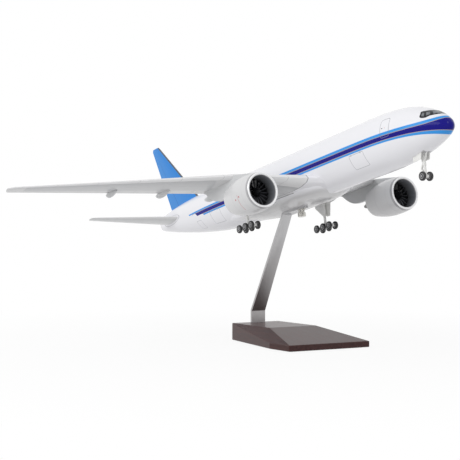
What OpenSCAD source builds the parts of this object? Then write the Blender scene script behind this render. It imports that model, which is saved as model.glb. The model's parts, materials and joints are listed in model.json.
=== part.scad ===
// Desk display model of a twin-engined freight airliner on a wooden stand.
// Millimetres. +X points towards the nose, +Y to port and +Z up.
// The origin is on the ground, under the middle of the stand's base.
// The airliner is drawn level in its own frame, with its zero on the fuselage axis
// below the nose tip, and the stand's arm then tips it nose up and carries it.

/* [Stand base] */
// Length of the wooden base, rear to front
base_len = 100; // [80:0.5:140]
// Width of the base across its front band
base_front_w = 72.8; // [60:0.5:110]
// Width of the base across its rear face
base_rear_w = 44.2; // [34:0.5:60]
// Height of the rear block
base_rear_h = 13.2; // [12:0.5:25]
// Height of the front band
base_front_h = 4.5; // [3.5:0.1:8]
// Length of the level top behind the slope
base_top_len = 51.6; // [40:0.5:60]
// Distance from the rear face to where the base is widest
base_widest = 74.5; // [64:0.5:78]
// Radius of the softened edges
base_edge_r = 1; // [0.3:0.1:1.2]

/* [Rubber mat] */
// Thickness of the rubber mat under the base
mat_t = 1.2; // [1:0.1:2]
// How far the mat stands proud of the wood
mat_proud = 0.5; // [0.2:0.1:0.8]
// Margin of wood left round the mat
mat_inset = 4; // [2:0.5:8]

/* [Stand arm] */
// Width of the arm where it enters the base
arm_w = 12.6; // [8:0.1:18]
// Width of the arm at its upper bend and along the tab
arm_top_w = 8.4; // [7.6:0.1:14]
// Thickness of the arm's metal strip
arm_t = 1.8; // [1.2:0.1:2.4]
// Distance from the base's rear face to the arm's rear face
arm_setback = 2.85; // [1.5:0.05:5]
// Height of the arm's upright part above the base
arm_riser = 9.6; // [6:0.1:20]
// Distance that the arm leans forward
arm_reach = 39.9; // [30:0.1:60]
// Height that the leaning part of the arm climbs
arm_climb = 76.4; // [60:0.1:110]
// Outer radius of the arm's bends
arm_bend_r = 3.2; // [2.6:0.1:6]
// Length of the foot plate let into the underside of the base
foot_len = 24; // [18:0.5:34]
// Radius of the tab's rounded front end
tab_end_r = 2.3; // [2:0.1:4]
// Distance from the upper bend to the thumb screw
tab_screw_at = 18.9; // [14:0.1:19]
// Distance from the thumb screw to the locating pin
tab_pin_gap = 4.8; // [4.6:0.1:5.6]

/* [Stand fasteners] */
// Radius of the thumb screw's shank
screw_r = 1.5; // [1.2:0.05:1.8]
// Length of the thumb screw's shank above the washer
screw_len = 8; // [6:0.1:10]
// Radius of the thumb screw's knurled knob
knob_r = 3; // [2.8:0.1:4]
// Height of the knurled knob
knob_h = 3.5; // [3:0.1:7]
// Radius of the thumb screw's neck
neck_r = 2.3; // [1.9:0.1:2.4]
// Height of the thumb screw's neck
neck_h = 1.6; // [1:0.1:3]
// Number of knurls round the knob
knurl_count = 28; // [16:2:40]
// Radius of the thumb screw's washer
washer_r = 2.9; // [2.5:0.1:3.2]
// Thickness of the washer
washer_t = 0.5; // [0.3:0.1:1]
// Radius of the locating pin
pin_r = 0.9; // [0.7:0.05:1.1]
// Length of the locating pin inside the airliner
pin_len = 6; // [4:0.5:9]
// Outer radius of the threaded insert
insert_r = 2.6; // [2.3:0.1:3.2]
// Radius of the foot screws' shanks
foot_screw_r = 1.3; // [1:0.1:1.6]
// Length of the foot screws in the wood
foot_screw_len = 6; // [5:0.5:7.5]
// Distance between the two foot screws
foot_screw_pitch = 9; // [8:0.5:14]

/* [Airliner attitude] */
// Nose-up angle of the airliner and of the tab
pitch = 11.7; // [6:0.1:20]
// Distance aft of the nose of the thumb screw
screw_station = 174; // [162:0.1:186]

/* [Fuselage] */
// Length of the fuselage
body_len = 389; // [352:0.5:425]
// Radius of the fuselage's round section
body_r = 19.7; // [18:0.05:22]
// Length over which the nose tapers
nose_len = 72; // [62:0.5:84]
// Length over which the tail tapers
tail_len = 160; // [140:1:175]

/* [Belly fairing] */
// Depth of the belly below the fuselage axis
belly_depth = 21.4; // [20.6:0.05:23]
// Half the width of the fairing at the wing roots
fairing_w = 24; // [22.4:0.1:26]
// Distance aft of the nose where the fairing starts
fairing_start = 128; // [122:1:131]
// Length over which the fairing swells to its full size
fairing_nose_len = 36; // [28:1:38]
// Distance aft of the nose where the fairing ends
fairing_end = 255; // [243:1:268]
// Length over which the fairing shrinks back into the body
fairing_tail_len = 49; // [40:1:56]

/* [Wing] */
// Half the wing span
semi_span = 194.9; // [193.5:0.1:204]
// Distance aft of the nose of the wing's apex on the centreline
wing_apex = 110.6; // [106:0.1:115]
// Sweep angle of the leading edge
wing_sweep = 38.3; // [35:0.1:40]
// Chord beside the body
root_chord = 81; // [74:0.5:86]
// Distance from the centreline to the kink in the trailing edge
kink_y = 62; // [55:0.5:70]
// Chord at the trailing-edge kink
kink_chord = 52.4; // [48:0.1:56]
// Distance from the centreline to the start of the raked tip
rake_y = 191.8; // [184:0.1:193]
// Chord at the start of the raked tip
rake_chord = 14.6; // [11:0.1:16]
// Thickness of the wing root as a share of its chord
root_thick = 0.135; // [0.11:0.005:0.15]
// Thickness of the outer wing as a share of its chord
tip_thick = 0.1; // [0.08:0.005:0.12]
// Height of the leading edge beside the body, from the axis
wing_root_z = -10.6; // [-11.2:0.1:-9.4]
// Dihedral angle of the inner wing, up to the kink
dihedral = 11.5; // [9:0.1:13]
// Dihedral angle of the outer wing
outer_dihedral = 5.45; // [4:0.05:7]
// Length of the tongue that plugs the wing into the body
wing_tongue_len = 9; // [6:0.5:11]

/* [Tail surfaces] */
// Height of the fin's tip above the axis
fin_top = 78.4; // [68:0.1:88]
// Distance from the fin tip's leading corner to the end of the tail cone
fin_tip_inset = 8.6; // [6:0.1:20]
// Chord of the fin's tip
fin_tip_chord = 12.1; // [9:0.1:18]
// Sweep angle of the fin's leading edge
fin_sweep = 46.1; // [38:0.1:50]
// Chord of the fin where it leaves the body
fin_root_chord = 49; // [44:0.5:52]
// Half the span of the tailplane
tail_span = 68.4; // [58:0.1:76]
// Distance from the tailplane tip's leading corner to the end of the tail cone
tail_tip_inset = 2.2; // [0:0.1:9]
// Chord of the tailplane's tip
tail_tip_chord = 11.2; // [8:0.1:15]
// Sweep angle of the tailplane's leading edge
tail_sweep = 43; // [38:0.1:45]
// Chord of the tailplane beside the body
tail_root_chord = 34.8; // [30:0.1:38]
// Height of the tailplane beside the body
tail_root_z = 3.9; // [2.5:0.1:5.5]
// Dihedral angle of the tailplane
tail_dihedral = 9.8; // [6:0.1:12]

/* [Engines] */
// Distance aft of the nose of the inlet's front edge
engine_x = 127.6; // [120:0.1:132]
// Distance of each engine from the centreline
engine_y = 64.2; // [58:0.1:68]
// Depth of the engines below the axis
engine_drop = 19.6; // [18.6:0.1:21]
// Largest radius of the nacelle
nacelle_r = 13.9; // [13:0.05:14.4]
// Radius of the nacelle's highlight ring at the inlet's front edge
lip_r = 12.0; // [11.6:0.05:12.4]
// Radius of the inlet duct
duct_r = 10.75; // [10.5:0.05:11.2]
// Length of the fan cowl
nacelle_len = 35.2; // [30:0.5:38]
// Radius of the fan cowl's rear edge
nozzle_r = 10.8; // [10:0.05:11.2]
// Length of the polished inlet lip
lip_len = 1.6; // [1.5:0.1:3]
// Distance from the inlet's front edge to the fan
fan_depth = 8.5; // [6:0.1:11]
// Clearance between the fan's blade tips and the duct
fan_gap = 0.35; // [0.25:0.05:0.6]
// Number of fan blades
fan_blades = 18; // [12:1:24]
// Radius of the fan's hub and spinner
hub_r = 3.1; // [2.6:0.1:3.6]
// Radius of the fan's shaft
shaft_r = 1; // [0.8:0.05:1.2]
// Largest radius of the core cowl
core_r = 7.2; // [6.4:0.1:7.8]
// Length of the core behind the fan
core_len = 27; // [24:0.5:34]
// Length of the exhaust plug that stands out of the core
plug_out = 10.8; // [6:0.1:12]
// Thickness of the pylon
pylon_t = 2.6; // [2:0.1:4]

/* [Undercarriage] */
// Radius of every tyre
tyre_r = 3.15; // [2.9:0.05:3.5]
// Width of every tyre
tyre_w = 2; // [1.6:0.05:2.4]
// Radius of the wheel hubs
wheel_hub_r = 1.8; // [1.5:0.05:2]
// Radius of the axles
axle_r = 0.6; // [0.45:0.05:0.7]
// Distance aft of the nose of the nose wheels
nose_gear_x = 31; // [27:0.1:36]
// Depth of the nose wheels' axle below the axis
nose_axle_drop = 31.4; // [29:0.1:36]
// Distance from the centreline to the middle of a nose wheel
nose_track = 3.05; // [2.7:0.05:3.6]
// Radius of the nose leg
nose_leg_r = 1.1; // [1:0.05:1.3]
// Distance aft of the nose of the bogies' middle axles
main_gear_x = 193.6; // [189:0.1:198]
// Distance of each bogie from the centreline
main_gear_y = 36; // [34:0.1:40]
// Depth of the bogies' axles below the axis
main_axle_drop = 32.8; // [29:0.1:36]
// Distance between neighbouring axles on a bogie
axle_pitch = 8.15; // [7.4:0.1:9]
// Distance from the bogie beam to the middle of a main wheel
bogie_track = 2.94; // [2.8:0.02:4.2]
// Radius of the main legs
main_leg_r = 1.3; // [1:0.05:1.6]
// Thickness of the undercarriage doors
door_t = 0.6; // [0.4:0.05:0.9]

/* [Clearances] */
// Clearance round tongues and plates in their sockets
seat_gap = 0.05; // [0.03:0.01:0.1]
// Radial clearance of shafts, axles and screws in their bores
run_gap = 0.05; // [0.03:0.01:0.09]

/* [Hidden] */
$fn = 48;

// Levels and places in the stand
wood_z = mat_proud;
wood_top = wood_z + base_rear_h;
base_rear_x = -base_len / 2;
head_h = 1.2;
plate_z = mat_t + head_h + 0.1;
arm_x = base_rear_x + arm_setback + arm_t / 2;
low_bend = [arm_x, wood_top + arm_riser];
high_bend = [arm_x + arm_reach, low_bend[1] + arm_climb];
tab_dir = [cos(pitch), sin(pitch)];
tab_up = [-sin(pitch), cos(pitch)];
tab_len = tab_screw_at + tab_pin_gap + tab_end_r;
screw_seat = high_bend + tab_screw_at * tab_dir + arm_t / 2 * tab_up;

// Where the airliner's own zero point comes to lie, so that its belly rests on the tab
air_zero = screw_seat + screw_station * tab_dir + belly_depth * tab_up;

// Placing
module on_airliner() {
    translate([air_zero[0], 0, air_zero[1]]) rotate([0, -pitch, 0]) children();
}
module at_screw() {
    on_airliner() translate([-screw_station, 0, -belly_depth]) children();
}
module for_side(s) {
    if (s > 0) children();
    else mirror([0, 1, 0]) children();
}

// Solid through a row of closed outlines with equal numbers of points
module loft(rings) {
    n = len(rings[0]);
    last = (len(rings) - 1) * n;
    walls = [for (j = [0:len(rings) - 2], i = [0:n - 1])
        let (a = j * n + i, b = j * n + (i + 1) % n) each [[b, a, b + n], [b + n, a, a + n]]];
    ends = [for (i = [1:n - 2]) each [[0, i, i + 1], [last, last + i + 1, last + i]]];
    polyhedron(points = [for (r = rings) each r], faces = concat(walls, ends), convexity = 6);
}

// Smooth curve through values at equal steps, level where it ends
function knot(v, i) = i < 0 ? 2 * v[0] - v[1] : i > len(v) - 1 ? v[len(v) - 2] : v[i];
function curve(v, t) =
    let (s = min(max(t, 0), 1) * (len(v) - 1), i = min(floor(s), len(v) - 2), f = s - i,
         a = knot(v, i - 1), b = knot(v, i), c = knot(v, i + 1), d = knot(v, i + 2))
    0.5 * (2 * b + (c - a) * f + (2 * a - 5 * b + 4 * c - d) * f * f + (3 * b - a - 3 * c + d) * f * f * f);
function ease(t) = let (s = min(max(t, 0), 1)) s * s * (3 - 2 * s);

// Fuselage outline as shares of its radius, from each tip to the round section
nose_top = [-0.233, 0.015, 0.29, 0.58, 0.835, 0.965, 1];
nose_bottom = [-0.233, -0.395, -0.552, -0.709, -0.863, -0.972, -1];
nose_half = [0, 0.215, 0.43, 0.643, 0.83, 0.957, 1];
tail_top = [0.7, 0.85, 0.945, 0.995, 1, 1, 1];
tail_bottom = [0.165, -0.165, -0.447, -0.69, -0.886, -0.985, -1];
tail_half = [0.12, 0.44, 0.68, 0.85, 0.955, 0.993, 1];
tail_round = 6;
body_sides = 48;

function tail_closing(d) = sqrt(1 - pow(1 - min(max((body_len - d) / tail_round, 0), 1), 2));
function body_shape(d, nose, tail) =
    body_r * (d < nose_len ? curve(nose, sqrt(d / nose_len)) : curve(tail, (body_len - d) / tail_len));
function body_top(d) = body_shape(d, nose_top, tail_top);
function body_bottom(d) = body_shape(d, nose_bottom, tail_bottom);
function body_half(d) = body_shape(d, nose_half, tail_half);
function body_ring(d) =
    let (mid = (body_top(d) + body_bottom(d)) / 2, k = tail_closing(d),
         h = k * (body_top(d) - body_bottom(d)) / 2, w = k * body_half(d))
    [for (i = [0:body_sides - 1]) let (a = 360 * i / body_sides) [-d, w * sin(a), mid + h * cos(a)]];

nose_stations = [for (i = [0:10]) nose_len * pow(max(i, 0.35) / 10, 2)];
mid_stations = [for (i = [1:3]) nose_len + (body_len - tail_len - nose_len) * i / 3];
tail_stations = [for (i = [10:-1:1]) body_len - tail_len * pow(i / 11, 1.25)];
end_stations = [for (e = [4, 2, 0.8, 0.15]) body_len - e];

body_core_over = 20;
module body_loft(from = 0, to = body_len) {
    stations = concat(nose_stations, mid_stations, tail_stations, end_stations);
    loft([for (d = stations) if (d >= from && d <= to) body_ring(d)]);
}

// Aerofoil from the upper rear edge round the nose to the lower rear edge, chord 1
foil_half = 9;
foil_camber = 0.01;
function foil_thick(x, t) =
    5 * t * (0.2969 * sqrt(x) - 0.126 * x - 0.3516 * x * x + 0.2843 * pow(x, 3) - 0.1036 * pow(x, 4));
function foil(t, edge, camber) = [for (k = [0:2 * foil_half])
    let (x = (1 + cos(180 * k / foil_half)) / 2, up = k <= foil_half ? 1 : -1)
    [x, camber * 4 * x * (1 - x) + up * (foil_thick(x, t) + edge * x / 2)]];

// Part of the body that cuts the wing roots and the belly fairing
module body_core() {
    body_loft(nose_len - body_core_over, fairing_end + body_core_over);
}

// Wing
wing_edge = 0.45;
wing_incidence = 1.5;
rake_slope = 0.9;
wing_in_y = 11;
wing_out_y = 24;
thick_y = body_r + (rake_y - body_r) * 0.6;
wing_ys = [wing_in_y, wing_out_y, kink_y, thick_y, rake_y, for (k = [0.35, 0.65, 0.88, 1])
    rake_y + k * (semi_span - rake_y)];

function wing_lead(y) = wing_apex + y * tan(wing_sweep) + max(0, y - rake_y) * rake_slope;
function wing_chord(y) =
    y < kink_y ? root_chord + (kink_chord - root_chord) * (y - body_r) / (kink_y - body_r)
    : y < rake_y ? kink_chord + (rake_chord - kink_chord) * (y - kink_y) / (rake_y - kink_y)
    : rake_chord * (1 - 0.85 * pow((y - rake_y) / (semi_span - rake_y), 1.5));
function wing_z(y) =
    wing_root_z + (min(y, kink_y) - body_r) * tan(dihedral) + max(0, y - kink_y) * tan(outer_dihedral);
function wing_thick(y) = root_thick + (tip_thick - root_thick) * min(1, (y - body_r) / (thick_y - body_r));
function wing_drop(y) = wing_chord(y) * sin(wing_incidence);
function wing_ring(y) =
    let (c = wing_chord(y))
    [for (p = foil(wing_thick(y), wing_edge / c, foil_camber))
        [-wing_lead(y) - p[0] * c, y, wing_z(y) + p[1] * c - p[0] * wing_drop(y)]];

module wing_solid() {
    loft([for (y = wing_ys) wing_ring(y)]);
}
module wing_root_solid() {
    loft([wing_ring(wing_in_y), wing_ring(wing_out_y)]);
}

// Tongue on the wing root, and its socket when grown
tongue_h = 3.6;
tongue_from = 0.22;
tongue_share = 0.4;
tongue_end = body_r * 0.9 - wing_tongue_len;
module wing_tongue(grow = 0) {
    c = wing_chord(body_r);
    z = wing_z(body_r) - wing_drop(body_r) * (tongue_from + tongue_share / 2);
    x = wing_lead(body_r) + c * tongue_from;
    size = [c * tongue_share, wing_out_y - tongue_end, tongue_h];
    translate([-x - size[0] - grow, tongue_end - grow, z - tongue_h / 2 - grow])
        cube([size[0] + 2 * grow, size[1] + grow, size[2] + 2 * grow]);
}

// Rounded tips of the fin and the tailplane
tip_cap = 2.5;
tip_round = 0.9;
tip_slip = 3.5;

// Fin, with a root that reaches into the body
fin_in_z = 11;
fin_out_z = body_r + 5;
fin_thick = 0.09;
fin_edge = 0.4;
function fin_share(z) = (z - body_r) / (fin_top - body_r);
function fin_chord(z) = fin_root_chord + (fin_tip_chord - fin_root_chord) * fin_share(z);
function fin_lead(z) = body_len - fin_tip_inset - (fin_top - z) * tan(fin_sweep);
function fin_ring(z, cut = 0) =
    let (c = fin_chord(z) * (1 - cut))
    [for (p = foil(fin_thick, fin_edge / c, 0)) [-fin_lead(z) - cut * tip_slip - p[0] * c, -p[1] * c, z]];

module fin_solid() {
    loft([fin_ring(fin_in_z), fin_ring(fin_out_z), fin_ring(fin_top - tip_cap),
          fin_ring(fin_top - tip_round, 0.08), fin_ring(fin_top, 0.24)]);
}
module fin_root_solid() {
    loft([fin_ring(fin_in_z), fin_ring(fin_out_z)]);
}

// Tailplane
tail_in_y = 3;
tail_root_y = 8;
tail_out_y = 15;
tail_thick = 0.095;
tail_edge = 0.4;
function tail_share(y) = (y - tail_root_y) / (tail_span - tail_root_y);
function tail_chord(y) = tail_root_chord + (tail_tip_chord - tail_root_chord) * tail_share(y);
function tail_lead(y) = body_len - tail_tip_inset - (tail_span - y) * tan(tail_sweep);
function tail_ring(y, cut = 0) =
    let (c = tail_chord(y) * (1 - cut), z = tail_root_z + (y - tail_root_y) * tan(tail_dihedral))
    [for (p = foil(tail_thick, tail_edge / c, 0))
        [-tail_lead(y) - cut * tip_slip - p[0] * c, y, z + p[1] * c]];
module tailplane_solid() {
    loft([tail_ring(tail_in_y), tail_ring(tail_out_y), tail_ring(tail_span - tip_cap),
          tail_ring(tail_span - tip_round, 0.1), tail_ring(tail_span, 0.3)]);
}
module tailplane_root_solid() {
    loft([tail_ring(tail_in_y), tail_ring(tail_out_y)]);
}

// Belly fairing: rounded box sections that swell out of the fuselage round the wing roots
fairing_sides = 40;
fairing_mid_z = -9.5;
fairing_up = 8;
fairing_soft = 3;
fairing_end_w = 14;
fairing_tuck = 2.2;
fairing_stations = concat(
    [for (s = [0, 0.02, 0.07, 0.16, 0.3, 0.5, 0.75, 1]) fairing_start + s * fairing_nose_len],
    [for (k = [4:-1:0]) fairing_end - k / 4 * fairing_tail_len]);
function fairing_swell(d) = let (s = min(1, (d - fairing_start) / fairing_nose_len))
    sqrt(1 - pow(1 - s, 2)) * ease((fairing_end - d) / fairing_tail_len);
function bend_share(v) = sign(v) * pow(abs(v), 2 / fairing_soft);
function fairing_ring(d) =
    let (e = fairing_swell(d), w = fairing_end_w + (fairing_w - fairing_end_w) * e,
         low = body_r - fairing_tuck, step = 180 / fairing_sides,
         down = (low + (belly_depth - low) * e + fairing_mid_z) / bend_share(cos(step)))
    [for (i = [0:fairing_sides - 1]) let (a = 360 * i / fairing_sides + step, c = bend_share(cos(a)))
        [-d, w * bend_share(sin(a)), fairing_mid_z + (c < 0 ? down : fairing_up) * c]];

// Stand
module base_outline() {
    polygon([for (s = [1, -1]) each let (row = [[0, base_rear_w], [base_widest, base_front_w],
        [base_len, base_front_w]], o = s > 0 ? [0, 1, 2] : [2, 1, 0])
        [for (i = o) [base_rear_x + row[i][0], s * row[i][1] / 2]]]);
}
module bead(x, y, z) {
    e = base_edge_r;
    for (s = [1, -1]) translate([base_rear_x + x, s * (y / 2 - e), z]) {
        cylinder(r = e, h = 1.2 * e, center = true, $fn = 16);
        cylinder(r = 0.6 * e, h = 2 * e, center = true, $fn = 16);
    }
}
module base_block() {
    e = base_edge_r;
    hull() {
        for (x = [e, base_top_len]) bead(x, base_rear_w, wood_top - e);
        bead(e, base_rear_w, wood_z + e);
        for (x = [base_widest, base_len - e], z = [e, base_front_h - e]) bead(x, base_front_w, wood_z + z);
    }
}
module foot_screw_places() {
    for (s = [-1, 1]) translate([arm_x + foot_len / 2 + s * foot_screw_pitch / 2, 0, plate_z]) children();
}
module arm_socket() {
    w = arm_w + 2 * seat_gap;
    rear = arm_x - arm_t / 2 - seat_gap;
    inner_r = arm_bend_r - arm_t + seat_gap;
    translate([rear, -w / 2, 0]) cube([arm_t + 2 * seat_gap, w, wood_top + 1]);
    translate([rear, -w / 2, 0]) cube([arm_t + inner_r, w, plate_z + arm_t + inner_r]);
    translate([rear, -w / 2, 0]) cube([foot_len + arm_t / 2 + 2 * seat_gap, w, plate_z + arm_t + seat_gap]);
}
module base() {
    color([0.32, 0.16, 0.15]) difference() {
        base_block();
        translate([0, 0, wood_z - 1]) linear_extrude(1 + mat_t - mat_proud + seat_gap)
            offset(delta = -mat_inset) base_outline();
        arm_socket();
        foot_screw_places() cylinder(r = foot_screw_r + run_gap, h = arm_t + foot_screw_len + 0.5);
    }
}
module base_mat() {
    color([0.08, 0.08, 0.09]) linear_extrude(mat_t) offset(delta = -mat_inset - seat_gap) base_outline();
}

// Bent strip: its outline follows a centre line with rounded corners
function unit(v) = v / norm(v);
function quarter(v) = [-v[1], v[0]];
function turned(v, a) = [v[0] * cos(a) - v[1] * sin(a), v[0] * sin(a) + v[1] * cos(a)];
function corner(a, b, c, r) =
    let (u = unit(b - a), v = unit(c - b), turn = atan2(u[0] * v[1] - u[1] * v[0], u * v), s = sign(turn),
         mid = b - u * r * tan(abs(turn) / 2) + s * r * quarter(u))
    [for (k = [0:8]) let (d = turned(u, turn * k / 8)) [mid - s * r * quarter(d), quarter(d)]];
module strip_outline(path, r, t) {
    ends = [for (e = [[0, 1, 0], [len(path) - 2, len(path) - 1, len(path) - 1]])
        [path[e[2]], quarter(unit(path[e[1]] - path[e[0]]))]];
    line = concat([ends[0]], [for (i = [1:len(path) - 2]) each corner(path[i - 1], path[i], path[i + 1], r)],
        [ends[1]]);
    m = len(line) - 1;
    polygon(concat([for (q = line) q[0] + q[1] * t / 2],
        [for (i = [m:-1:0]) line[i][0] - line[i][1] * t / 2]));
}
module arm_front_view() {
    taper = [[arm_w, 0], [arm_w, low_bend[1]], [arm_top_w, high_bend[1]], [arm_top_w, high_bend[1] + 0.1]];
    translate([-base_len, 0, 0]) rotate([90, 0, 90]) linear_extrude(2 * base_len) polygon(concat(
        [for (p = taper) [p[0] / 2, p[1]]], [for (i = [3:-1:0]) [-taper[i][0] / 2, taper[i][1]]]));
}
module tab_plan() {
    at_screw() translate([0, 0, -arm_t - 2]) {
        linear_extrude(arm_t + 4) polygon([
            [-tab_screw_at - 5, arm_top_w / 2], [-tab_screw_at + 2, arm_top_w / 2], [tab_pin_gap, tab_end_r],
            [tab_pin_gap, -tab_end_r], [-tab_screw_at + 2, -arm_top_w / 2],
            [-tab_screw_at - 5, -arm_top_w / 2]]);
        translate([tab_pin_gap, 0, 0]) cylinder(r = tab_end_r, h = arm_t + 4);
    }
}
module stand_arm() {
    foot_z = plate_z + arm_t / 2;
    path = [[arm_x + foot_len, foot_z], [arm_x, foot_z], low_bend, high_bend, high_bend + tab_len * tab_dir];
    color([0.72, 0.72, 0.73]) difference() {
        intersection() {
            rotate([90, 0, 0]) linear_extrude(arm_w, center = true)
                strip_outline(path, arm_bend_r - arm_t / 2, arm_t);
            union() {
                arm_front_view();
                tab_plan();
            }
        }
        foot_screw_places() cylinder(r = foot_screw_r + run_gap, h = 4 * arm_t, center = true);
        at_screw() cylinder(r = screw_r + 2 * run_gap, h = 4 * arm_t, center = true);
        at_screw() translate([tab_pin_gap, 0, 0]) cylinder(r = pin_r + run_gap, h = 4 * arm_t, center = true);
    }
}
module foot_screws() {
    color([0.75, 0.75, 0.76]) foot_screw_places() difference() {
        union() {
            translate([0, 0, -head_h]) cylinder(r1 = 1.7 * foot_screw_r, r2 = 1.9 * foot_screw_r, h = head_h);
            cylinder(r = foot_screw_r, h = arm_t + foot_screw_len - 2);
            translate([0, 0, arm_t + foot_screw_len - 2]) cylinder(r1 = foot_screw_r, r2 = 0.2, h = 2);
        }
        translate([0, 0, -head_h]) cube([0.6, 6 * foot_screw_r, head_h], center = true);
    }
}
module thumb_screw() {
    seat = -arm_t - washer_t;
    chamfer = 0.4;
    color([0.8, 0.8, 0.79]) at_screw() {
        translate([0, 0, seat]) cylinder(r = screw_r, h = screw_len);
        translate([0, 0, seat - neck_h]) cylinder(r = neck_r, h = neck_h);
        translate([0, 0, seat - neck_h - knob_h]) intersection() {
            linear_extrude(knob_h) polygon([for (i = [0:2 * knurl_count - 1])
                let (r = knob_r - 0.22 * (i % 2), a = 180 * i / knurl_count) [r * cos(a), r * sin(a)]]);
            rotate_extrude() polygon([[0, 0], [knob_r - chamfer, 0], [knob_r, chamfer],
                [knob_r, knob_h - chamfer], [knob_r - chamfer, knob_h], [0, knob_h]]);
        }
    }
}
module thumb_washer() {
    color([0.78, 0.78, 0.77]) at_screw() translate([0, 0, -arm_t - washer_t]) difference() {
        cylinder(r = washer_r, h = washer_t);
        translate([0, 0, -1]) cylinder(r = screw_r + run_gap, h = washer_t + 2);
    }
}
module pin_rod(grow = 0) {
    at_screw() translate([tab_pin_gap, 0, -arm_t - 0.5])
        cylinder(r = pin_r + grow, h = pin_len + arm_t + 0.5 + grow);
}
module locating_pin() {
    color([0.8, 0.8, 0.8]) pin_rod();
}
insert_len = 7;
module insert_rod(grow = 0) {
    at_screw() cylinder(r = insert_r + grow, h = insert_len + grow);
}
module belly_insert() {
    color([0.75, 0.6, 0.3]) difference() {
        insert_rod();
        at_screw() translate([0, 0, -1]) cylinder(r = screw_r + run_gap, h = insert_len + 2);
    }
}

// Airliner body
well_from = nose_gear_x - 5;
well_to = nose_gear_x + 7;
well_w = 4;
well_top = 13;
module nose_well() {
    translate([-well_to, -well_w, -body_r - 2])
        cube([well_to - well_from, 2 * well_w, body_r + 2 - well_top]);
    translate([-nose_gear_x, 0, -well_top - 1]) cylinder(r = nose_leg_r + seat_gap, h = 5);
}
module fuselage() {
    color([0.93, 0.93, 0.94]) difference() {
        on_airliner() difference() {
            body_loft();
            fin_root_solid();
            for (s = [1, -1]) for_side(s) {
                wing_tongue(seat_gap);
                tailplane_root_solid();
            }
            nose_well();
        }
        insert_rod(seat_gap);
        pin_rod(seat_gap);
    }
}
module belly_fairing() {
    color([0.86, 0.86, 0.87]) difference() {
        on_airliner() difference() {
            loft([for (d = fairing_stations) fairing_ring(d)]);
            body_core();
            for (s = [1, -1]) for_side(s) wing_root_solid();
        }
        insert_rod(seat_gap);
        pin_rod(seat_gap);
    }
}
module fin() {
    color([0.29, 0.56, 0.85]) on_airliner() fin_solid();
}
module leg_socket(grow = 0) {
    translate([-main_gear_x, main_gear_y, -main_axle_drop])
        cylinder(r = main_leg_r + 0.3 + grow, h = main_leg_h + grow);
}
module wing(s) {
    color([0.84, 0.84, 0.85]) on_airliner() for_side(s) difference() {
        union() {
            difference() {
                wing_solid();
                body_core();
            }
            wing_tongue();
        }
        leg_socket(seat_gap);
    }
}
module tailplane(s) {
    color([0.84, 0.84, 0.85]) on_airliner() for_side(s) tailplane_solid();
}

// Pods under the wing's rear edge that house the flap tracks
flap_pods = [[55, 26, 2.5, 3.4, 0.4], [91, 23, 2.1, 3.3, 0.26], [124.7, 19, 1.9, 3.1, 0.26],
    [71.5, 11, 1.3, 0.9, -0.25]];
function pod_ring(p, t) =
    let (y = p[0], k = pow(sin(180 * pow(t, 1.35)), 0.6),
         x = wing_lead(y) + wing_chord(y) + p[1] * (t - 1 + p[4]), z = wing_z(y) - wing_drop(y) - 0.35 * p[3])
    [for (a = [0:36:324]) [-x, y + p[2] * k * sin(a), z + p[3] * k * cos(a) * (cos(a) > 0 ? 0.5 : 1)]];
module flap_fairings(s) {
    color([0.82, 0.82, 0.83]) on_airliner() for_side(s) difference() {
        for (p = flap_pods) loft([for (t = [0.02, 0.12, 0.3, 0.5, 0.7, 0.86, 0.96, 0.995]) pod_ring(p, t)]);
        wing_solid();
    }
}

// Engines: every round part is turned about the engine's own axis, measured aft of the inlet's edge
module at_engine() {
    translate([-engine_x, engine_y, -engine_drop]) rotate([0, -90, 0]) children();
}
nacelle_mid = 15;
duct_to = 16;
nozzle_wall = 0.6;
function cowl_r(x) = x < nacelle_mid ? lip_r + (nacelle_r - lip_r) * sqrt(1 - pow(1 - x / nacelle_mid, 2))
    : nacelle_r - (nacelle_r - nozzle_r) * pow((x - nacelle_mid) / (nacelle_len - nacelle_mid), 1.9);
function throat_r(x) = lip_r - (lip_r - duct_r) * sqrt(1 - pow(1 - x / lip_len, 2));
function steps(a, b, n) = [for (i = [0:n]) a + (b - a) * i / n];
module cowl_solid() {
    rotate_extrude() polygon(concat([[0, 0]], [for (x = concat(steps(0, 3, 3), steps(5, nacelle_len, 12)))
        [cowl_r(x), x]], [[0, nacelle_len]]));
}
module nacelle(s) {
    color([0.85, 0.85, 0.86]) on_airliner() for_side(s) at_engine() rotate_extrude() polygon(concat(
        [for (x = steps(lip_len, nacelle_len, 14)) [cowl_r(x), x]],
        [[nozzle_r - nozzle_wall, nacelle_len], [duct_r, duct_to], [duct_r, lip_len]]));
}
module inlet_lip(s) {
    color([0.9, 0.9, 0.91]) on_airliner() for_side(s) at_engine() rotate_extrude() polygon(concat(
        [for (k = steps(0, 1, 6)) [cowl_r(lip_len * k * k), lip_len * k * k]],
        [for (k = steps(1, 0.14, 6)) [throat_r(lip_len * k * k), lip_len * k * k]]));
}

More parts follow.
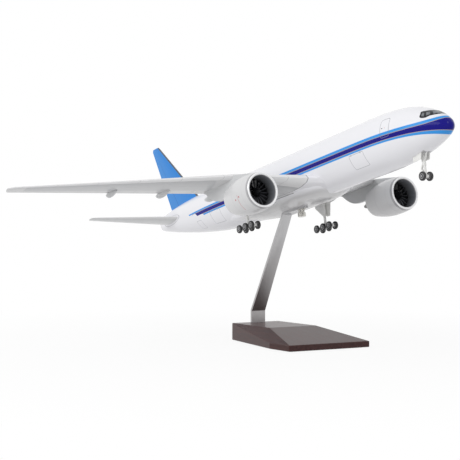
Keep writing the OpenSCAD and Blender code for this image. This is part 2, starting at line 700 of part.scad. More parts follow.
fan_r = duct_r - fan_gap;
hub_len = 4.4;
spinner_len = 5;
function blade_ring(u) =
    let (r = hub_r - 0.6 + (fan_r - hub_r + 0.6) * u, c = 4 + 1.2 * u, a = 12 + 46 * pow(u, 0.8),
         lens = [[-0.5, 0], [-0.2, 0.3], [0.2, 0.3], [0.5, 0], [0.2, -0.06], [-0.2, -0.06]])
    [for (p = lens) let (y = p[0] * c * sin(a) + p[1] * cos(a), z = p[0] * c * cos(a) - p[1] * sin(a))
        [sqrt(r * r - y * y), y, z]];
module fan(s) {
    side_y = s > 0 ? 0 : -2 * engine_y;
    color([0.1, 0.1, 0.11]) on_airliner() translate([0, side_y, 0]) at_engine() difference() {
        union() {
            translate([0, 0, fan_depth]) rotate_extrude() polygon(concat([[0, -spinner_len]],
                [for (k = steps(0.15, 1, 6)) [hub_r * pow(k, 0.75), spinner_len * (k - 1)]],
                [[hub_r, hub_len], [0, hub_len]]));
            for (i = [0:fan_blades - 1])
                translate([0, 0, fan_depth + hub_len / 2]) rotate([0, 0, 360 * i / fan_blades])
                    loft([for (u = [0, 0.35, 0.7, 1]) blade_ring(u)]);
        }
        translate([0, 0, fan_depth]) cylinder(r = shaft_r, h = hub_len + 1);
    }
}
core_from = fan_depth + hub_len + 0.3;
boss_len = 6;
module fan_shaft(s) {
    color([0.7, 0.7, 0.7]) on_airliner() for_side(s) at_engine() {
        translate([0, 0, fan_depth]) cylinder(r = shaft_r, h = core_from - fan_depth + boss_len + 0.3);
        translate([0, 0, core_from + boss_len + 0.3]) cylinder(r = 1.6 * shaft_r, h = 1);
    }
}
cavity_r = 2.3;
core_nozzle_r = 4.9;
nozzle_depth = 3;
module core_solid() {
    translate([0, 0, core_from]) rotate_extrude() polygon(concat([[0, 0]],
        [for (k = steps(0, 1, 12)) [hub_r + (core_r - hub_r) * sin(90 * min(1, k / 0.3))
            - (core_r - core_nozzle_r) * ease((k - 0.3) / 0.7), core_len * k]], [[0, core_len]]));
}
module engine_core(s) {
    color([0.6, 0.6, 0.62]) on_airliner() for_side(s) at_engine() difference() {
        union() {
            core_solid();
            intersection() {
                translate([0, 0, core_from + 0.6]) cylinder(r = duct_r, h = 3);
                for (i = [0:7]) rotate([0, 0, 45 * i]) translate([0, -0.5, 0]) cube([duct_r + 1, 1, duct_to]);
            }
        }
        cylinder(r = shaft_r + run_gap, h = core_from + boss_len + 1);
        translate([0, 0, core_from + boss_len]) cylinder(r = cavity_r, h = core_len);
        translate([0, 0, core_from + core_len - nozzle_depth])
            cylinder(r = core_nozzle_r - 0.5, h = nozzle_depth + 1);
    }
}
module exhaust_plug(s) {
    plug_z = core_from + core_len - nozzle_depth;
    long = nozzle_depth + plug_out;
    neck = cavity_r - seat_gap;
    color([0.45, 0.44, 0.43]) on_airliner() for_side(s) at_engine() translate([0, 0, plug_z])
        rotate_extrude() polygon([[0, -6], [neck, -6], [neck, 0], [3.4, 0], [3.2, 0.28 * long],
            [2.4, 0.6 * long], [1.1, 0.9 * long], [0, long]]);
}
// Pylon: places along it aft of the inlet's edge, and how its sides close to thin ends
pylon_from = 9;
pylon_crest = 18;
pylon_keel = 20;
pylon_roof_to = 50;
pylon_rise_from = 56;
pylon_end_share = 0.89;
pylon_bury = 1;
pylon_full_from = 16;
pylon_close_len = 14;
pylon_end_w = 0.4;
module pylon(s) {
    w = wing_z(engine_y) + pylon_bury;
    chord = wing_chord(engine_y);
    end = [wing_lead(engine_y) + pylon_end_share * chord - engine_x, wing_z(engine_y)
        + foil_camber * 4 * pylon_end_share * (1 - pylon_end_share) * chord
        - pylon_end_share * wing_drop(engine_y)];
    top = nacelle_r - engine_drop;
    low = 0.6 * core_r - engine_drop;
    side = [[pylon_from, top - 1.4], [pylon_from, top + 0.2], [pylon_crest, top + 1.8],
        [wing_lead(engine_y) - engine_x + 3, w], [pylon_roof_to, w], each [for (a = [90:-10:0])
            [pylon_rise_from + (end[0] - pylon_rise_from) * a / 90, low + (end[1] - low) * (1 - cos(a))]],
        [pylon_keel, low]];
    plan = [[pylon_from - 1, 0], [pylon_from + 2, 0.6], [pylon_full_from, pylon_t / 2],
        [end[0] - pylon_close_len, pylon_t / 2], [end[0] + 1, pylon_end_w / 2]];
    color([0.83, 0.83, 0.84]) on_airliner() for_side(s) difference() {
        intersection() {
            translate([-engine_x, engine_y, 0]) rotate([90, 0, 0]) linear_extrude(pylon_t, center = true)
                polygon([for (p = side) [-p[0], p[1]]]);
            translate([-engine_x, engine_y, -2 * engine_drop]) linear_extrude(3 * engine_drop) polygon(concat(
                [for (p = plan) [-p[0], p[1]]], [for (i = [len(plan) - 1:-1:1]) [-plan[i][0], -plan[i][1]]]));
        }
        wing_solid();
        at_engine() cowl_solid();
        at_engine() core_solid();
    }
}

// Undercarriage
module across(x, y, drop) {
    translate([-x, y, -drop]) rotate([90, 0, 0]) children();
}
module wheel_axle(track) {
    length = 2 * track + tyre_w;
    cylinder(r = axle_r, h = length + 0.3, center = true);
    for (s = [1, -1]) translate([0, 0, s * track]) difference() {
        cylinder(r = wheel_hub_r, h = tyre_w - 0.3, center = true);
        translate([0, 0, s * tyre_w / 2]) difference() {
            cylinder(r = wheel_hub_r - 0.4, h = 0.9, center = true);
            cylinder(r = axle_r + 0.3, h = 2, center = true);
        }
    }
}
module tyre_pair(track) {
    h = tyre_w / 2;
    shoulder = 0.75 * h;
    section = concat([[wheel_hub_r, -h + 0.15], [wheel_hub_r, h - 0.15]], [for (a = [90:-15:-90])
        [tyre_r - shoulder + shoulder * cos(a), (h - shoulder) * sign(a) + shoulder * sin(a)]]);
    for (s = [1, -1]) translate([0, 0, s * track]) rotate_extrude() polygon(section);
}
nose_boss = nose_track - tyre_w / 2 - 0.3;
module nose_leg() {
    color([0.86, 0.86, 0.86]) on_airliner() difference() {
        union() {
            translate([-nose_gear_x, 0, -nose_axle_drop])
                cylinder(r = 0.8 * nose_leg_r, h = nose_axle_drop - well_top);
            translate([-nose_gear_x, 0, -nose_axle_drop + 7])
                cylinder(r = nose_leg_r, h = nose_axle_drop - well_top - 3.2);
            across(nose_gear_x, 0, nose_axle_drop)
                cylinder(r = axle_r + 0.6, h = 2 * nose_boss, center = true);
        }
        across(nose_gear_x, 0, nose_axle_drop)
            cylinder(r = axle_r + run_gap, h = 3 * nose_track, center = true);
    }
}
module nose_brace() {
    leg = nose_gear_x;
    drop = nose_axle_drop;
    links = [[leg + nose_leg_r, drop - 9], [leg + 3.4, drop - 5.8], [leg + nose_leg_r, drop - 2.4]];
    drag = [[leg - nose_leg_r, drop - 11], [leg - 4.6, well_top + 0.2]];
    color([0.8, 0.8, 0.8]) on_airliner() difference() {
        rotate([90, 0, 0]) linear_extrude(1.1, center = true) for (row = [links, drag], i = [0:len(row) - 2])
            bar(row[i], row[i + 1], 0.9);
        translate([-leg, 0, -drop]) cylinder(r = nose_leg_r, h = drop);
    }
}
module bar(a, b, w) {
    polygon([for (q = [[a, 1], [b, 1], [b, -1], [a, -1]])
        let (n = quarter(unit(b - a)) * w / 2) [-q[0][0] - q[1] * n[0], -q[0][1] - q[1] * n[1]]]);
}
module nose_doors() {
    door = [[nose_gear_x - 2.6, well_top + 2.4], [nose_gear_x + 6.6, well_top + 2.4],
        [nose_gear_x + 6, body_r + 0.9], [nose_gear_x - 1.4, body_r + 0.4]];
    color([0.9, 0.9, 0.91]) on_airliner() for (s = [1, -1]) for_side(s)
        translate([0, well_w - seat_gap, 0]) rotate([90, 0, 0]) linear_extrude(door_t)
            polygon([for (p = door) [-p[0], -p[1]]]);
}
module nose_axle() {
    color([0.7, 0.7, 0.7]) on_airliner() across(nose_gear_x, 0, nose_axle_drop) wheel_axle(nose_track);
}
module nose_tyres() {
    color([0.09, 0.09, 0.09]) on_airliner() across(nose_gear_x, 0, nose_axle_drop) tyre_pair(nose_track);
}

main_leg_h = main_axle_drop + wing_z(main_gear_y) - wing_drop(main_gear_y) * 0.75;
beam_h = 2 * axle_r + 0.7;
beam_w = 1.7;
module main_leg(s) {
    color([0.86, 0.86, 0.86]) on_airliner() for_side(s)
        translate([-main_gear_x, main_gear_y, -main_axle_drop]) {
            translate([0, 0, beam_h / 2]) cylinder(r = 0.75 * main_leg_r, h = 10);
            translate([0, 0, beam_h / 2]) cylinder(r1 = main_leg_r + 0.4, r2 = 0.75 * main_leg_r, h = 3.4);
            translate([0, 0, 9]) cylinder(r = main_leg_r + 0.3, h = main_leg_h - 9);
        }
}
module main_brace(s) {
    top = wing_drop(main_gear_y) * 0.85 - wing_z(main_gear_y);
    web = [[main_gear_x, top], [main_gear_x + 10.4, top], [main_gear_x + 10.4, top + 7],
        [main_gear_x + 1.8, 23.4], [main_gear_x, 23.4]];
    color([0.86, 0.86, 0.85]) on_airliner() for_side(s) difference() {
        translate([0, main_gear_y, 0]) rotate([90, 0, 0]) linear_extrude(1.2, center = true)
            polygon([for (p = web) [-p[0], -p[1]]]);
        wing_solid();
        leg_socket();
    }
}
module main_door(s) {
    door = [[main_gear_x - 6.8, 13.4], [main_gear_x + 0.6, 13.4], [main_gear_x + 0.6, 23],
        [main_gear_x - 1, 24.4], [main_gear_x - 4.4, 24.4]];
    color([0.7, 0.7, 0.71]) on_airliner() for_side(s)
        translate([0, main_gear_y + main_leg_r + 0.3 + seat_gap + door_t, 0]) rotate([90, 0, 0])
            linear_extrude(door_t) polygon([for (p = door) [-p[0], -p[1]]]);
}
module bogie_beam(s) {
    half = bogie_track - tyre_w / 2 - 0.3;
    length = 2 * axle_pitch + 2.8;
    color([0.82, 0.82, 0.82]) on_airliner() for_side(s) difference() {
        union() {
            translate([-main_gear_x, main_gear_y, -main_axle_drop])
                cube([length, beam_w, beam_h], center = true);
            for (k = [-1, 0, 1]) across(main_gear_x + k * axle_pitch, main_gear_y, main_axle_drop)
                cylinder(r = beam_h / 2, h = 2 * half, center = true);
        }
        for (k = [-1, 0, 1]) across(main_gear_x + k * axle_pitch, main_gear_y, main_axle_drop)
            cylinder(r = axle_r + run_gap, h = 3 * bogie_track, center = true);
    }
}
module bogie_axle(s, row) {
    x = main_gear_x + row * axle_pitch;
    color([0.7, 0.7, 0.7]) on_airliner() across(x, s * main_gear_y, main_axle_drop) wheel_axle(bogie_track);
}
module bogie_tyres(s, row) {
    x = main_gear_x + row * axle_pitch;
    color([0.09, 0.09, 0.09]) on_airliner() across(x, s * main_gear_y, main_axle_drop) tyre_pair(bogie_track);
}

base();
base_mat();
stand_arm();
foot_screws();
thumb_screw();
thumb_washer();
locating_pin();
belly_insert();
fuselage();
belly_fairing();
fin();
nose_leg();
nose_brace();
nose_doors();
nose_axle();
nose_tyres();
wing(1);  // left_wing
flap_fairings(1);  // left_flap_fairings
tailplane(1);  // left_tailplane
pylon(1);  // left_pylon
nacelle(1);  // left_nacelle
inlet_lip(1);  // left_inlet_lip
fan(1);  // left_fan
fan_shaft(1);  // left_fan_shaft
engine_core(1);  // left_engine_core
exhaust_plug(1);  // left_exhaust_plug
main_leg(1);  // left_main_leg
main_brace(1);  // left_main_brace
main_door(1);  // left_main_door
bogie_beam(1);  // left_bogie_beam
wing(-1);  // right_wing
flap_fairings(-1);  // right_flap_fairings
tailplane(-1);  // right_tailplane
pylon(-1);  // right_pylon
nacelle(-1);  // right_nacelle
inlet_lip(-1);  // right_inlet_lip
fan(-1);  // right_fan
fan_shaft(-1);  // right_fan_shaft
engine_core(-1);  // right_engine_core
exhaust_plug(-1);  // right_exhaust_plug
main_leg(-1);  // right_main_leg
main_brace(-1);  // right_main_brace
main_door(-1);  // right_main_door
bogie_beam(-1);  // right_bogie_beam
bogie_axle(1, -1);  // left_front_axle
bogie_tyres(1, -1);  // left_front_tyres
bogie_axle(1, 0);  // left_middle_axle
bogie_tyres(1, 0);  // left_middle_tyres
bogie_axle(1, 1);  // left_rear_axle
bogie_tyres(1, 1);  // left_rear_tyres
bogie_axle(-1, -1);  // right_front_axle
bogie_tyres(-1, -1);  // right_front_tyres
bogie_axle(-1, 0);  // right_middle_axle
bogie_tyres(-1, 0);  // right_middle_tyres
bogie_axle(-1, 1);  // right_rear_axle
bogie_tyres(-1, 1);  // right_rear_tyres
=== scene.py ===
import json
import math
from functools import reduce

import bmesh
import bpy
from mathutils import Matrix, Vector
from mathutils.bvhtree import BVHTree


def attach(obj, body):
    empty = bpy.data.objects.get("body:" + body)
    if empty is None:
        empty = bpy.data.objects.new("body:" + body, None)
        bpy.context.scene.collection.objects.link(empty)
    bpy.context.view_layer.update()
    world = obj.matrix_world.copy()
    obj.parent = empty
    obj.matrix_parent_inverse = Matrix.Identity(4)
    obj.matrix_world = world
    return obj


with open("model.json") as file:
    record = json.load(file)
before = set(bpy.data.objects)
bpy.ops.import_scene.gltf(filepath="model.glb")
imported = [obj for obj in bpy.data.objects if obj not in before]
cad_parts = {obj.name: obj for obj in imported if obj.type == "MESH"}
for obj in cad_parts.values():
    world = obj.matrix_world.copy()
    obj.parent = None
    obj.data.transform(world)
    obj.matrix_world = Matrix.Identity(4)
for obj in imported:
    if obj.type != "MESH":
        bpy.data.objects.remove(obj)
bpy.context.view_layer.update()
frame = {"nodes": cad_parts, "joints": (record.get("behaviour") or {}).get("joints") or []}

nodes = frame["nodes"]
joints = {j["name"]: j for j in frame["joints"]}
MM = 0.001
PER_METRE = 1000.0

# The airliner's own axes: nose at zero, X forward, Y to port, Z up, in millimetres. They come from the packed
# joints and from the sizes below, which repeat the solid model's.
BODY_R = 19.7
WING = dict(apex=110.6, sweep=38.3, root_y=BODY_R, root=81.0, kink_y=62.0, kink=52.4,
            rake_y=191.8, rake=14.6, slope=0.9)
FIN = dict(tip_x=380.4, top=78.4, sweep=46.1, root=49.0, tip=12.1)
STAB = dict(tip_x=386.8, span=68.4, sweep=43.0, root_y=BODY_R * 0.6, root=34.8, tip=11.2)
NOSE_WHEEL = Vector((-31.0, 0.0, -31.4))
ENGINE_FACE = 127.6

spin = joints["left_fan_spin"]["axis"]
PITCH = math.atan2(spin[2], spin[0])
COS, SIN = math.cos(PITCH), math.sin(PITCH)
TILT = Matrix(((COS, 0, -SIN), (0, 1, 0), (SIN, 0, COS)))
ZERO = Vector(joints["nose_wheels_roll"]["pos_m"]) / MM - TILT @ NOSE_WHEEL
fan_at = TILT.transposed() @ (Vector(joints["left_fan_spin"]["pos_m"]) / MM - ZERO)
ENGINE_Y, ENGINE_Z = fan_at[1], fan_at[2]


def air(x, y, z):
    """A point of the airliner's own axes, in millimetres, as a scene point in metres."""
    return (ZERO + TILT @ Vector((x, y, z))) * MM


def srgb(r, g, b):
    """A colour picked in 0 to 255 as the linear colour that shaders take."""
    shares = (c / 255 for c in (r, g, b))
    return tuple(c / 12.92 if c <= 0.04045 else ((c + 0.055) / 1.055) ** 2.4 for c in shares) + (1.0,)


# ---------------------------------------------------------------- shader graphs
class Num:
    """A number in a shader graph that is built with ordinary arithmetic."""

    def __init__(self, graph, socket):
        self.graph, self.socket = graph, socket

    def op(self, kind, *others, clamp=False):
        return self.graph.math(kind, self, *others, clamp=clamp)

    def __add__(self, other):
        return self.op("ADD", other)

    def __sub__(self, other):
        return self.op("SUBTRACT", other)

    def __rsub__(self, other):
        return self.graph.math("SUBTRACT", other, self)

    def __mul__(self, other):
        return self.op("MULTIPLY", other)

    def __truediv__(self, other):
        return self.op("DIVIDE", other)

    def __neg__(self):
        return self.op("MULTIPLY", -1.0)

    def abs(self):
        return self.op("ABSOLUTE")

    def max(self, other):
        return self.op("MAXIMUM", other)

    def min(self, other):
        return self.op("MINIMUM", other)

    def exp(self):
        return self.op("EXPONENT")

    def root(self):
        return self.op("SQRT")

    def under(self, edge, soft=0.06):
        """1 where the number is under the edge, 0 over it, with a soft step of that width."""
        return ((edge - self) / soft + 0.5).op("ADD", 0.0, clamp=True)

    def over(self, edge, soft=0.06):
        """1 where the number is over the edge."""
        return 1.0 - self.under(edge, soft)

    def between(self, low, high, soft=0.06):
        """1 where the number is between the two."""
        return self.over(low, soft) * self.under(high, soft)

    def line(self, at, width, soft=0.06):
        """1 on a line of that width along the place where the number has that value."""
        return (self - at).abs().under(width / 2, soft)


def most(*parts):
    """The greatest of several numbers of one graph."""
    return reduce(Num.max, parts)


class Graph:
    """One material's graph, with the airliner's own axes ready to use."""

    def __init__(self, name):
        self.material = bpy.data.materials.new(name)
        self.material.use_nodes = True
        self.tree = self.material.node_tree
        self.tree.nodes.clear()
        self.out = self.new("ShaderNodeOutputMaterial")
        self.shader = self.new("ShaderNodeBsdfPrincipled")
        self.tree.links.new(self.shader.outputs[0], self.out.inputs[0])
        self.coords = self.new("ShaderNodeTexCoord").outputs["Object"]

    def new(self, kind):
        return self.tree.nodes.new(kind)

    def put(self, socket, value):
        if isinstance(value, Num):
            self.tree.links.new(value.socket, socket)
        elif isinstance(value, bpy.types.NodeSocket):
            self.tree.links.new(value, socket)
        else:
            socket.default_value = value

    def math(self, kind, *values, clamp=False):
        node = self.new("ShaderNodeMath")
        node.operation = kind
        node.use_clamp = clamp
        for socket, value in zip(node.inputs, values):
            self.put(socket, value)
        return Num(self, node.outputs[0])

    def xyz(self):
        """The scene's own axes, in millimetres."""
        node = self.new("ShaderNodeSeparateXYZ")
        self.put(node.inputs[0], self.coords)
        return [Num(self, s) * PER_METRE for s in node.outputs]

    def airliner(self):
        """Distance aft of the nose, side (port is positive) and height, in millimetres."""
        x, y, z = self.xyz()
        x, z = x - ZERO[0], z - ZERO[2]
        return -(x * COS + z * SIN), y, z * COS - x * SIN

    def mix(self, share, low, high):
        node = self.new("ShaderNodeMix")
        node.data_type = "RGBA"
        self.put(node.inputs["Factor"], share)
        for name, value in (("A", low), ("B", high)):
            self.put(next(s for s in node.inputs if s.name == name and s.type == "RGBA"), value)
        return next(s for s in node.outputs if s.type == "RGBA")

    def noise(self, scale, detail=3.0, rough=0.5, stretch=None):
        source = self.coords
        if stretch:
            mapping = self.new("ShaderNodeMapping")
            self.put(mapping.inputs["Vector"], source)
            mapping.inputs["Scale"].default_value = stretch
            mapping.inputs["Rotation"].default_value = (0, PITCH, 0)
            source = mapping.outputs[0]
        node = self.new("ShaderNodeTexNoise")
        self.put(node.inputs["Vector"], source)
        node.inputs["Scale"].default_value = scale
        node.inputs["Detail"].default_value = detail
        node.inputs["Roughness"].default_value = rough
        return Num(self, node.outputs[0])

    def bump(self, height, strength, distance):
        node = self.new("ShaderNodeBump")
        node.inputs["Strength"].default_value = strength
        node.inputs["Distance"].default_value = distance
        self.put(node.inputs["Height"], height)
        self.put(self.shader.inputs["Normal"], node.outputs[0])

    def finish(self, **sockets):
        for name, value in sockets.items():
            self.put(self.shader.inputs[name.replace("_", " ")], value)
        return self.material


def rounded_outline(u, v, box, radius, width, soft=0.08):
    """A thin line round a rounded rectangle: box is (low u, high u, low v, high v)."""
    low_u, high_u, low_v, high_v = box
    qu = (u - (low_u + high_u) / 2).abs() - ((high_u - low_u) / 2 - radius)
    qv = (v - (low_v + high_v) / 2).abs() - ((high_v - low_v) / 2 - radius)
    a, b = qu.max(0.0), qv.max(0.0)
    edge = (a * a + b * b).root() + qu.max(qv).min(0.0) - radius
    return edge.line(0.0, width, soft)


LACQUER_WHITE = srgb(238, 238, 242)
LACQUER_GREY = srgb(214, 214, 215)
PANEL_GREY = srgb(196, 197, 199)
SKY_BLUE = srgb(58, 152, 230)
DEEP_BLUE = srgb(9, 2, 128)
PIN_LINE = srgb(150, 122, 108)
SEAM = srgb(150, 150, 156)
DOOR_SEAM = srgb(128, 130, 138)
JOINT_LINE = srgb(110, 111, 116)
CONTROL_LINE = srgb(138, 139, 143)


def lacquered(graph, colour, rough, shine, glint=0.22):
    """Sprayed lacquer over a cast body: a faint waviness, slight variation in gloss and tone."""
    peel = graph.noise(420.0, detail=2.0)
    cloud = graph.noise(38.0, detail=3.0)
    graph.bump(peel, strength=0.08, distance=0.00012)
    tint = graph.mix(cloud * 0.02, colour, srgb(198, 198, 202))
    return graph.finish(Base_Color=tint, Roughness=(cloud - 0.5) * 0.08 + rough, Coat_Weight=shine,
                        Coat_Roughness=0.06, Specular_IOR_Level=glint)


# ---------------------------------------------------------------- airliner paint
# Places and widths are in millimetres on the airliner's own axes, with distances taken aft from the nose.

# The bands: their edges' heights well aft of the nose, and where each one ends at the tail, on one slant
BAND_EDGES = dict(sky_top=2.5, deep_top=0.25, deep_low=-2.5, sky_low=-4.15)
BAND_ENDS = dict(sky=311.0, upper_pin=306.0, deep=299.7, lower_pin=290.0, low_sky=289.7)
BAND_SLANT = 1.04
PIN = 0.4
DIP_AT = 16.0
SAG_FROM = 200.0


def fade(d, reach):
    """1 at the tip of the nose, dying away aft over that reach."""
    return (d * (-1 / reach)).exp()


def striped(g, d, z, ground):
    """The bands that run along the whole body, over the ground colour."""
    sag = (d - SAG_FROM).max(0.0)
    dip = d * (1 / DIP_AT) * (1.0 - d * (1 / DIP_AT)).exp()
    tip = fade(d, 6) * 1.2
    sky_top = tip - dip * 1.25 + BAND_EDGES["sky_top"] - sag * 0.008
    deep_top = tip - dip * 1.35 + BAND_EDGES["deep_top"] - sag * 0.002
    deep_low = fade(d, 21) * -5.6 + BAND_EDGES["deep_low"]
    sky_low = fade(d, 19) * -7.4 + BAND_EDGES["sky_low"]
    slant = d - z * BAND_SLANT
    sky = z.between(deep_top + PIN, sky_top) * slant.under(BAND_ENDS["sky"])
    low_sky = z.between(sky_low, deep_low - PIN) * slant.under(BAND_ENDS["low_sky"])
    deep = z.between(deep_low, deep_top) * slant.under(BAND_ENDS["deep"])
    upper_pin = z.between(deep_top, deep_top + PIN, 0.12) * slant.under(BAND_ENDS["upper_pin"])
    lower_pin = z.between(deep_low - PIN, deep_low, 0.12) * slant.under(BAND_ENDS["lower_pin"])
    colour = g.mix(sky.max(low_sky), ground, SKY_BLUE)
    colour = g.mix(upper_pin.max(lower_pin) * 0.8, colour, PIN_LINE)
    return g.mix(deep, colour, DEEP_BLUE)


# Door outlines as (front, rear, low, high): by height on the side wall, by arc length below the axis for the holds
CREW_DOOR = (42.0, 50.0, -1.6, 10.9)
CARGO_DOOR = (259.0, 283.5, -1.0, 12.6)
HOLD_DOORS = ((70.0, 85.5, -16.1, -5.1), (259.0, 275.2, -16.2, -4.1), (293.8, 302.2, -18.2, -7.8))
# Pairs of hinges over two of the hold doors as (one, other, low, high)
HOLD_HINGES = ((83.2, 72.9, -5.9, -4.5), (272.0, 262.0, -4.9, -3.6))
# The crew door's handle and the small mark beside it as (distance, width, height, thickness)
HANDLE = (48.2, 0.9, 4.9, 0.7)
MARK = (45.6, 0.45, 4.7, 0.4)
# Curved cut-out round the tailplane's root: its middle and its two half axes, squared
CUT_OUT = dict(at=352.0, height=4.8, long_squared=361, high_squared=12)


def fuselage_paint():
    g = Graph("fuselage_lacquer")
    d, y, z = g.airliner()
    colour = striped(g, d, z, LACQUER_WHITE)
    starboard, port = y.under(0.0, 1.0), y.over(0.0, 1.0)
    arc = g.math("ARCTAN2", z, y.abs()) * BODY_R
    seams = most(rounded_outline(d, z, CREW_DOOR, radius=1.6, width=0.42),
                 *(rounded_outline(d, arc, box, radius=1.0, width=0.36) * starboard for box in HOLD_DOORS),
                 rounded_outline(d, z, CARGO_DOOR, radius=1.6, width=0.36) * port)
    hinges = most(*((d.line(one, 1.2) + d.line(other, 1.2)) * arc.between(low, high) * starboard
                    for one, other, low, high in HOLD_HINGES))
    handle, mark = (d.line(*spot[:2]) * z.line(*spot[2:]) for spot in (HANDLE, MARK))
    colour = g.mix(seams * 0.6, colour, DOOR_SEAM)
    colour = g.mix(hinges * 0.5, colour, srgb(170, 175, 185))
    colour = g.mix(handle, colour, srgb(70, 70, 78))
    colour = g.mix(mark, colour, srgb(214, 120, 112))
    aft, over = d - CUT_OUT["at"], z - CUT_OUT["height"]
    around = (aft * aft * (1 / CUT_OUT["long_squared"]) + over * over * (1 / CUT_OUT["high_squared"])).root()
    colour = g.mix(around.line(1.0, 0.1, 0.05) * 0.5, colour, DOOR_SEAM)
    return lacquered(g, colour, rough=0.16, shine=0.14, glint=0.07)


# The joint between wing root and body: its line's width, and where it runs on the belly fairing and on the wings
JOINT_WIDTH = 0.42
BELLY_JOINT = dict(front=151.0, rear=205.0, height=-16.1)
WING_JOINT_Y = 23.3
# Louvred openings under the belly as (front, rear, starboard, port), and the panel seams aft of them
LOUVRES = ((144.0, 149.4, -4.0, 10.0), (149.4, 155.4, -8.4, 6.0))
SLAT_TURNS = 4.2
BELLY_SEAMS = (176.0, 206.0, 232.0)
BELLY_SEAM_Y = 12.0
# The heights under which the belly is grey, and under which its louvres and its seams show
GREY_Z, LOUVRE_Z, BELLY_SEAM_Z = -17.5, -17.0, -14.0


def belly_paint():
    g = Graph("belly_lacquer")
    d, y, z = g.airliner()
    colour = striped(g, d, z, g.mix(z.over(GREY_Z, 3.0), LACQUER_GREY, LACQUER_WHITE))
    root = d.between(BELLY_JOINT["front"], BELLY_JOINT["rear"], 1.0)
    colour = g.mix(z.over(BELLY_JOINT["height"]) * root, colour, LACQUER_GREY)
    colour = g.mix(z.line(BELLY_JOINT["height"], JOINT_WIDTH, 0.15) * root * 0.75, colour, JOINT_LINE)
    slats = ((d * SLAT_TURNS).op("SINE") * 0.5 + 0.5).op("POWER", 2.0)
    inside = most(*(d.between(*box[:2]) * y.between(*box[2:]) for box in LOUVRES))
    rims = most(*(rounded_outline(d, y, box, radius=0.8, width=0.3) for box in LOUVRES))
    colour = g.mix((inside * slats).max(rims) * z.under(LOUVRE_Z, 0.5) * 0.55, colour, srgb(112, 112, 116))
    along = y.abs().line(BELLY_SEAM_Y, 0.2) * d.between(BELLY_SEAMS[0], BELLY_SEAMS[-1])
    seam = most(*(d.line(at, 0.2) for at in BELLY_SEAMS), along) * z.under(BELLY_SEAM_Z, 0.5)
    colour = g.mix(seam * 0.5, colour, SEAM)
    return lacquered(g, colour, rough=0.18, shine=0.1, glint=0.12)


# Painted lines of the wings: shares of the chord, and breaks along the span
WING_REAR_SHARE = 0.68
WING_MIDDLE_SHARE = 0.37
FLAP_BREAKS = (31.0, 60.0, 74.0, 111.0, 146.0, 178.0)
SLAT_BREAKS = (34.0, 59.0, 70.0, 94.0, 118.0, 142.0, 166.0, 186.0)
SLAT_LEAN = 20.0
# The slats' rear edge by share of the chord: at the body, its fall along the span, and the least it falls to
SLAT_EDGE = dict(inboard=0.2, fall=0.0016, least=0.075)
# The grey panel's outer end, and the bare stretch in it behind the engine
PANEL_END_Y, LINES_END_Y = 184.0, 186.0
BARE = dict(y=67.0, lean=14.0, half_width=7.5, to_share=0.6)


def wing_paint():
    g = Graph("wing_lacquer")
    d, y, _ = g.airliner()
    y = y.abs()
    lead = y * math.tan(math.radians(WING["sweep"])) + WING["apex"] + (y - WING["rake_y"]).max(0.0) * WING["slope"]
    inner = (WING["kink"] - WING["root"]) / (WING["kink_y"] - WING["root_y"])
    outer = (WING["rake"] - WING["kink"]) / (WING["rake_y"] - WING["kink_y"])
    chord = (y.min(WING["kink_y"]) - WING["root_y"]) * inner + WING["root"] + (y - WING["kink_y"]).max(0.0) * outer
    share = (d - lead) / chord
    panel_from = (y * -SLAT_EDGE["fall"] + SLAT_EDGE["inboard"]).max(SLAT_EDGE["least"])
    panel = share.between(panel_from, WING_REAR_SHARE, 0.012) * y.under(PANEL_END_Y)
    behind_engine = (y - (BARE["y"] - share * BARE["lean"])).abs().under(BARE["half_width"], 1.4)
    panel = panel * (1.0 - behind_engine * share.under(BARE["to_share"], 0.1))
    flap, slat = share.over(WING_REAR_SHARE, 0.01), share.under(panel_from, 0.01)
    leaning = y - share * SLAT_LEAN
    lines = most(*(share.line(at, 0.009, 0.006) for at in (panel_from, WING_REAR_SHARE))) * y.under(LINES_END_Y)
    lines = most(lines,
                 *(y.line(at, 0.22, 0.12) * flap for at in FLAP_BREAKS),
                 *(leaning.line(at, 0.22, 0.12) * slat for at in SLAT_BREAKS),
                 share.line(WING_MIDDLE_SHARE, 0.006, 0.005) * panel)
    colour = g.mix(panel, LACQUER_GREY, PANEL_GREY)
    colour = g.mix(lines * 0.5, colour, CONTROL_LINE)
    colour = g.mix(slat * 0.9, colour, srgb(230, 230, 231))
    colour = g.mix(share.under(0.02, 0.03) * 0.7, colour, srgb(232, 232, 233))
    colour = g.mix(lines * 0.5 * slat, colour, CONTROL_LINE)
    colour = g.mix(y.under(WING_JOINT_Y, 0.2), colour, LACQUER_WHITE)
    colour = g.mix(y.line(WING_JOINT_Y, JOINT_WIDTH, 0.15) * 0.75, colour, JOINT_LINE)
    return lacquered(g, colour, rough=0.26, shine=0.14)


# Painted lines of the tailplanes: shares of the chord, and places along the span
STAB_LEAD_SHARE = 0.12
STAB_PANEL_SHARE = 0.66
STAB_REAR_SHARE = 0.68
STAB_END_LINE_Y, STAB_LINES_END_Y = 64.5, 65.0


